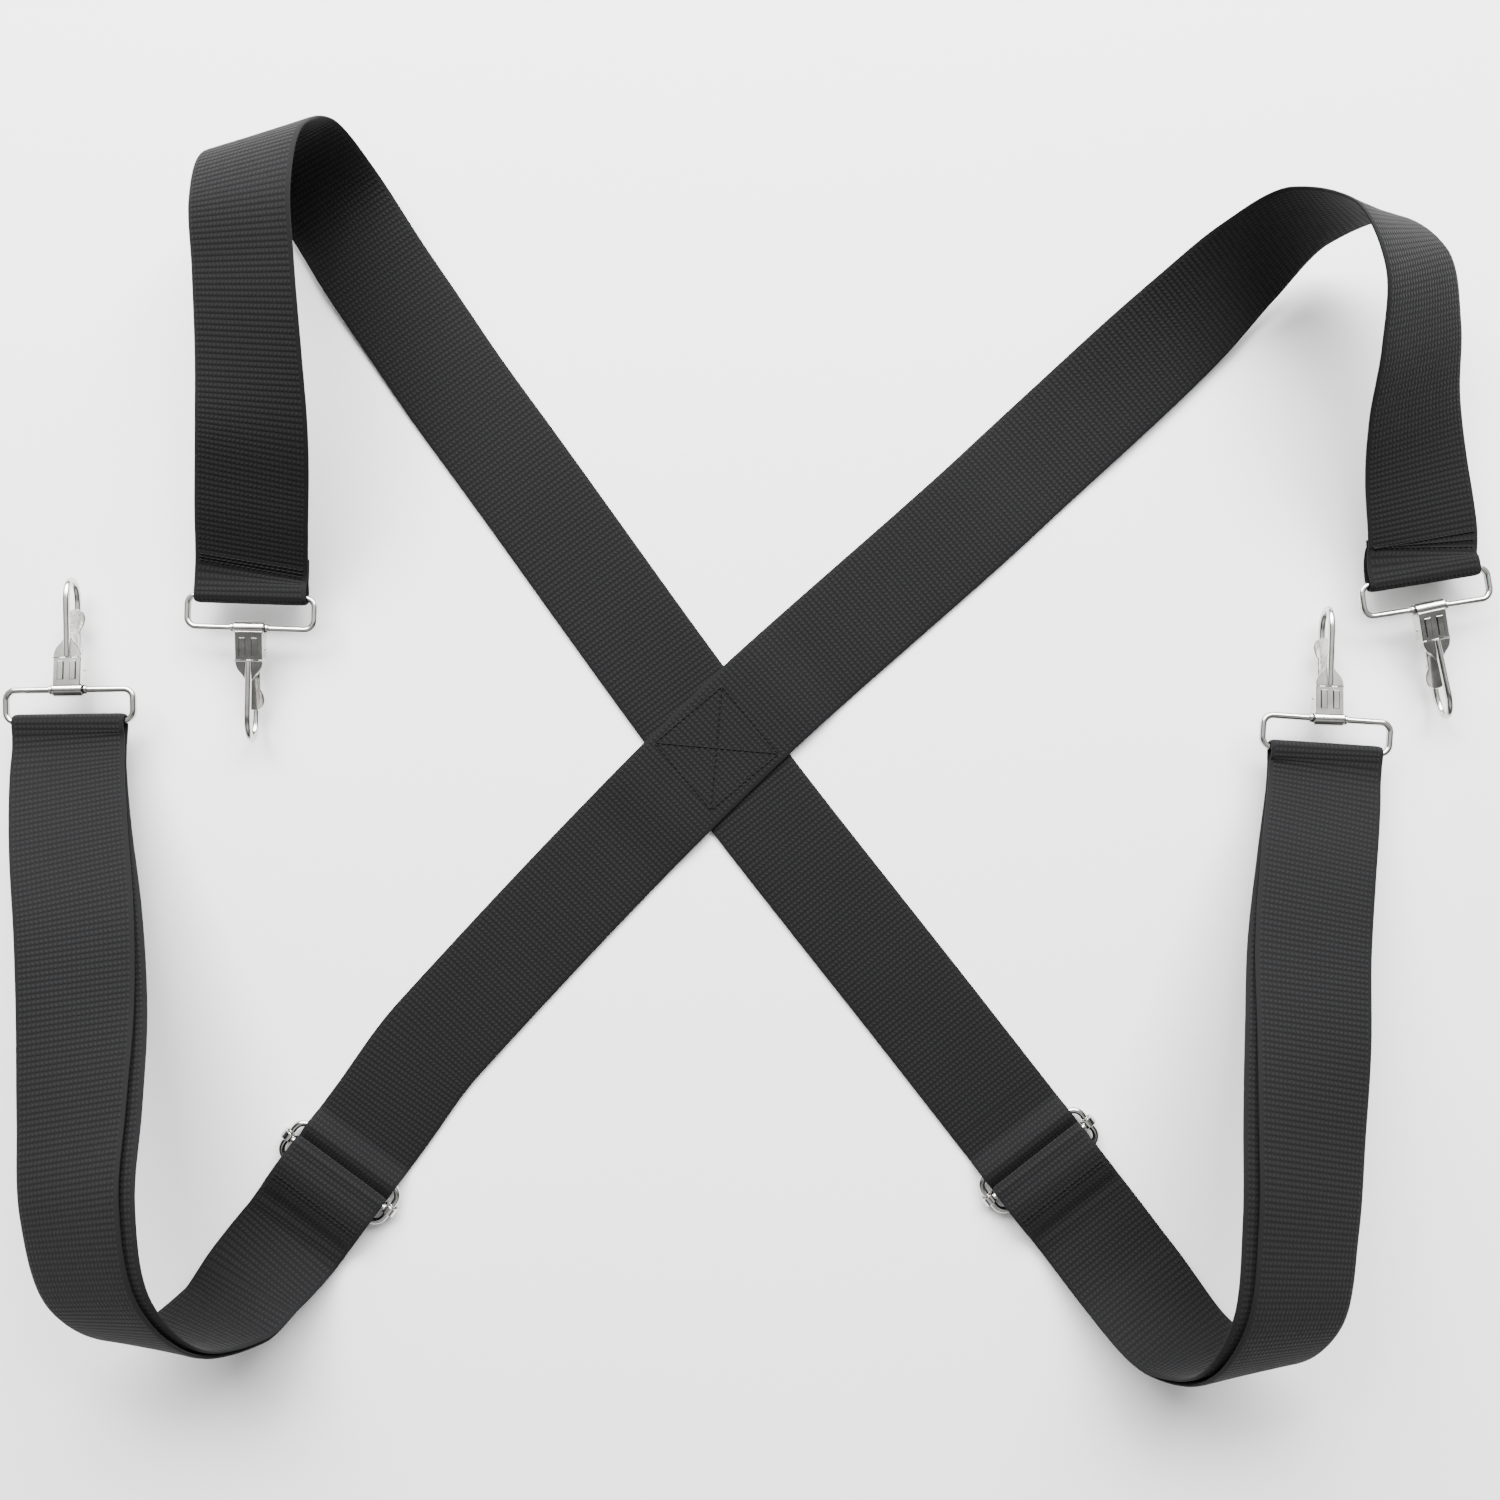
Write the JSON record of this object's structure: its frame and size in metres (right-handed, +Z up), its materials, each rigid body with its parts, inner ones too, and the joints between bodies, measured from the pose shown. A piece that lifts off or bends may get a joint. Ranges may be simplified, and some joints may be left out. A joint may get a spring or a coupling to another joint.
{
  "type": "crossed lumbar support belt straps",
  "caption": "Crossed black webbing straps for a lumbar support belt, with nickel-plated trigger snap hooks and slide adjusters.",
  "frame": {"origin": "on the surface the set lies on, under the middle of the crossing", "axes": "+Z up from the surface towards the front of the set, +Y towards the two upper hooks, +X towards the right-hand hooks seen from the front"},
  "size_m": [0.6689, 0.5441, 0.0956],
  "materials": {
    "black_webbing": "coarse woven, matte",
    "black_thread": "matte",
    "nickel_plate": "polished",
    "spring_steel": "drawn wire"
  },
  "bodies": {
    "straps": {"strap_a_upper": "black_webbing", "strap_b_upper": "black_webbing", "strap_a_lower_doubled": "black_webbing", "strap_b_lower_doubled": "black_webbing", "crossing_stitching": "black_thread", "upper_left_end_stitching": "black_thread", "upper_right_end_stitching": "black_thread"},
    "right_slider": {"right_slider_frame": "nickel_plate", "right_slider_centre_bar": "nickel_plate", "right_strap_through_slider": "black_webbing", "right_strap_sewn_end": "black_webbing", "right_slider_stitching": "black_thread"},
    "left_slider": {"left_slider_frame": "nickel_plate", "left_slider_centre_bar": "nickel_plate", "left_strap_through_slider": "black_webbing", "left_strap_sewn_end": "black_webbing", "left_slider_stitching": "black_thread"},
    "upper_left_loop": {"upper_left_hook_wire_loop": "nickel_plate"},
    "upper_left_hook": {"upper_left_hook_body": "nickel_plate", "upper_left_hook_gate_pin": "nickel_plate", "upper_left_hook_gate_spring": "spring_steel"},
    "upper_left_gate": {"upper_left_hook_gate": "nickel_plate"},
    "upper_right_loop": {"upper_right_hook_wire_loop": "nickel_plate"},
    "upper_right_hook": {"upper_right_hook_body": "nickel_plate", "upper_right_hook_gate_pin": "nickel_plate", "upper_right_hook_gate_spring": "spring_steel"},
    "upper_right_gate": {"upper_right_hook_gate": "nickel_plate"},
    "lower_left_loop": {"lower_left_hook_wire_loop": "nickel_plate"},
    "lower_left_hook": {"lower_left_hook_body": "nickel_plate", "lower_left_hook_gate_pin": "nickel_plate", "lower_left_hook_gate_spring": "spring_steel"},
    "lower_left_gate": {"lower_left_hook_gate": "nickel_plate"},
    "lower_right_loop": {"lower_right_hook_wire_loop": "nickel_plate"},
    "lower_right_hook": {"lower_right_hook_body": "nickel_plate", "lower_right_hook_gate_pin": "nickel_plate", "lower_right_hook_gate_spring": "spring_steel"},
    "lower_right_gate": {"lower_right_hook_gate": "nickel_plate"}
  },
  "joints": [
    {"name": "right_slider_slide", "type": "slide", "parent": "straps", "child": "right_slider", "axis": [0.6157, -0.788, 0], "range_m": [-0.06, 0.02], "deforming": ["strap_a_upper", "strap_a_lower_doubled"]},
    {"name": "left_slider_slide", "type": "slide", "parent": "straps", "child": "left_slider", "axis": [-0.5948, -0.8039, 0], "range_m": [-0.06, 0.02], "deforming": ["strap_b_upper", "strap_b_lower_doubled"]},
    {"name": "upper_left_loop_hinge", "type": "hinge", "parent": "straps", "child": "upper_left_loop", "pos_m": [-0.2085, 0.068, 0.014], "axis": [-0.9994, 0.0349, 0], "range_deg": [-80, 60]},
    {"name": "upper_left_hook_hinge", "type": "hinge", "parent": "upper_left_loop", "child": "upper_left_hook", "pos_m": [-0.209, 0.05381, 0.014], "axis": [-0.9998, 0.0174, 0], "range_deg": [-60, 60]},
    {"name": "upper_left_gate_hinge", "type": "hinge", "parent": "upper_left_hook", "child": "upper_left_gate", "pos_m": [-0.20915, 0.04481, 0.0108], "axis": [-0.9998, 0.0174, 0], "range_deg": [0, 12], "stiffness_Nm_per_rad": 0.02, "springref_deg": -17.19},
    {"name": "upper_right_loop_hinge", "type": "hinge", "parent": "straps", "child": "upper_right_loop", "pos_m": [0.3175, 0.077, 0.014], "axis": [-0.9877, -0.1564, 0], "range_deg": [-80, 60]},
    {"name": "upper_right_hook_hinge", "type": "hinge", "parent": "upper_right_loop", "child": "upper_right_hook", "pos_m": [0.31972, 0.06298, 0.014], "axis": [-0.9781, -0.2079, 0], "range_deg": [-60, 60]},
    {"name": "upper_right_gate_hinge", "type": "hinge", "parent": "upper_right_hook", "child": "upper_right_gate", "pos_m": [0.32159, 0.05417, 0.0108], "axis": [-0.9781, -0.2079, 0], "range_deg": [0, 12], "stiffness_Nm_per_rad": 0.02, "springref_deg": -17.19},
    {"name": "lower_left_loop_hinge", "type": "hinge", "parent": "straps", "child": "lower_left_loop", "pos_m": [-0.29, 0.012, 0.014], "axis": [0.9998, 0.0174, 0], "range_deg": [-80, 60]},
    {"name": "lower_left_hook_hinge", "type": "hinge", "parent": "lower_left_loop", "child": "lower_left_hook", "pos_m": [-0.29025, 0.0262, 0.014], "axis": [0.9998, 0.0174, 0], "range_deg": [-60, 60]},
    {"name": "lower_left_gate_hinge", "type": "hinge", "parent": "lower_left_hook", "child": "lower_left_gate", "pos_m": [-0.29041, 0.0352, 0.0108], "axis": [0.9998, 0.0174, 0], "range_deg": [0, 12], "stiffness_Nm_per_rad": 0.02, "springref_deg": -17.19},
    {"name": "lower_right_loop_hinge", "type": "hinge", "parent": "straps", "child": "lower_right_loop", "pos_m": [0.2735, -0.001, 0.014], "axis": [0.9976, -0.0698, 0], "range_deg": [-80, 60]},
    {"name": "lower_right_hook_hinge", "type": "hinge", "parent": "lower_right_loop", "child": "lower_right_hook", "pos_m": [0.27449, 0.01316, 0.014], "axis": [0.9994, -0.0349, 0], "range_deg": [-60, 60]},
    {"name": "lower_right_gate_hinge", "type": "hinge", "parent": "lower_right_hook", "child": "lower_right_gate", "pos_m": [0.27481, 0.02216, 0.0108], "axis": [0.9994, -0.0349, 0], "range_deg": [0, 12], "stiffness_Nm_per_rad": 0.02, "springref_deg": -17.19}
  ]
}
